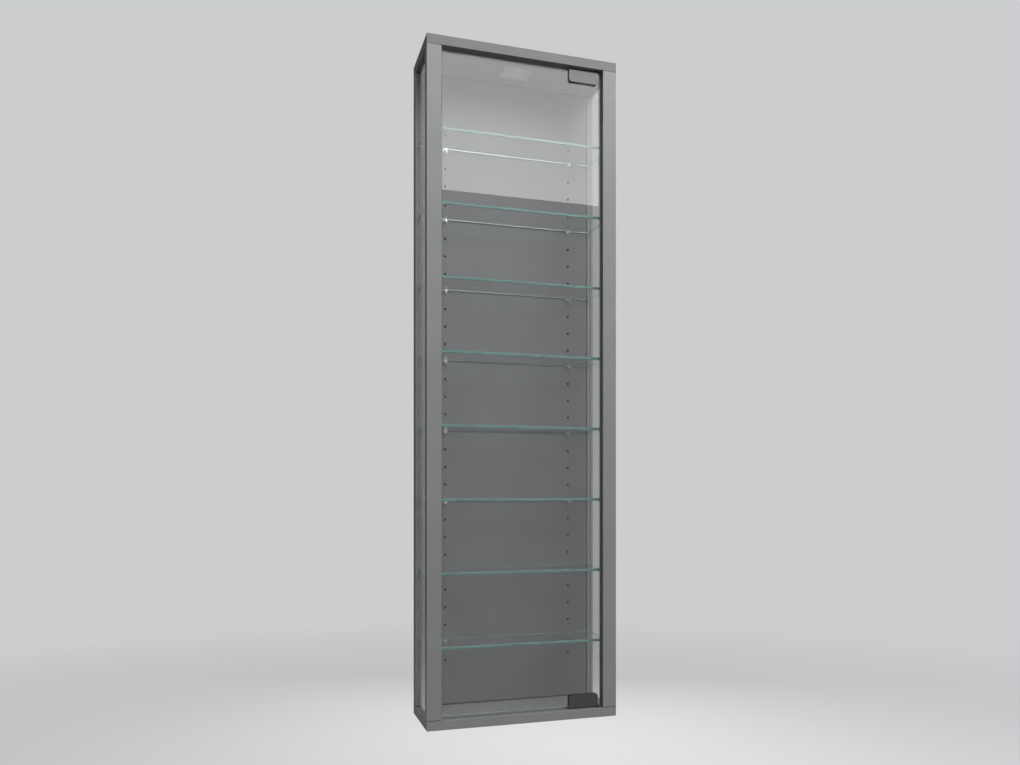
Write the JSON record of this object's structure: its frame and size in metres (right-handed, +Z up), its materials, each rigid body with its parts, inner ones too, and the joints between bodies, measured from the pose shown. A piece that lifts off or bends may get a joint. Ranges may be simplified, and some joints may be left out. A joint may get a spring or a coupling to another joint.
{
  "type": "wall mounted showcase",
  "caption": "Tall shallow wall showcase: grey board frame, glass sides, glass shelves on pins, an inset glass door on pivot hinges and a small ceiling lamp.",
  "frame": {"origin": "on the wall plane, midway between the two hanger eyes", "axes": "+X to the right as seen from the front, +Y into the wall, +Z up"},
  "size_m": [0.347, 0.124, 1.18],
  "materials": {
    "board": "fine textured grey melamine on board, satin",
    "back_board": "fine textured darker grey melamine, satin",
    "clear_glass": "polished float glass, faint green",
    "shelf_glass": "polished float glass with green ground edges",
    "dark_metal": "anthracite powder coat, satin gloss",
    "zinc": "zinc plated steel",
    "nickel": "nickel plated, satin",
    "pad": "black elastomer, matte",
    "beech": "fluted beech dowel",
    "bush_plastic": "black moulded polyamide",
    "lamp_shell": "light grey moulded plastic",
    "lamp_lens": "opal diffuser",
    "circuit_board": "green solder mask"
  },
  "bodies": {
    "cabinet": {"top_panel": "board", "bottom_panel": "board", "front_stile_left": "board", "front_stile_right": "board", "rear_stile_left": "board", "rear_stile_right": "board", "back_panel": "back_board", "side_pane_left": "clear_glass", "side_pane_right": "clear_glass", "rear_shelf_pins": "nickel", "front_shelf_pins": "nickel", "lamp_cells": "nickel", "frame_dowels_top": "beech", "frame_dowels_bottom": "beech", "frame_screws_top": "zinc", "frame_screws_bottom": "zinc", "hanger_bracket_left": "zinc", "hanger_bracket_right": "zinc", "hanger_screws": "zinc", "hinge_bush_top": "bush_plastic", "hinge_bush_bottom": "bush_plastic", "lamp_housing": "lamp_shell", "lamp_lens": "lamp_lens", "lamp_led_board": "circuit_board", "shelf_1": "shelf_glass", "shelf_2": "shelf_glass", "shelf_3": "shelf_glass", "shelf_4": "shelf_glass", "shelf_5": "shelf_glass", "shelf_6": "shelf_glass", "shelf_7": "shelf_glass", "shelf_8": "shelf_glass"},
    "door": {"door_pane": "clear_glass", "hinge_pivot_top": "nickel", "hinge_pivot_bottom": "nickel", "hinge_clip_top": "dark_metal", "hinge_clip_bottom": "dark_metal", "hinge_clamp_screws_top": "dark_metal", "hinge_clamp_screws_bottom": "dark_metal", "hinge_front_pad_top": "pad", "hinge_front_pad_bottom": "pad", "hinge_rear_pad_top": "pad", "hinge_rear_pad_bottom": "pad"},
    "lamp_switch": {"lamp_switch": "lamp_shell"}
  },
  "joints": [
    {"name": "door_hinge", "type": "hinge", "parent": "cabinet", "child": "door", "pos_m": [0.1405, -0.113, -0.52], "axis": [0, 0, 1], "range_deg": [0, 105]},
    {"name": "lamp_switch_press", "type": "slide", "parent": "cabinet", "child": "lamp_switch", "axis": [0, 0, 1], "range_m": [0, 0.0005], "stiffness_N_per_m": 600}
  ]
}
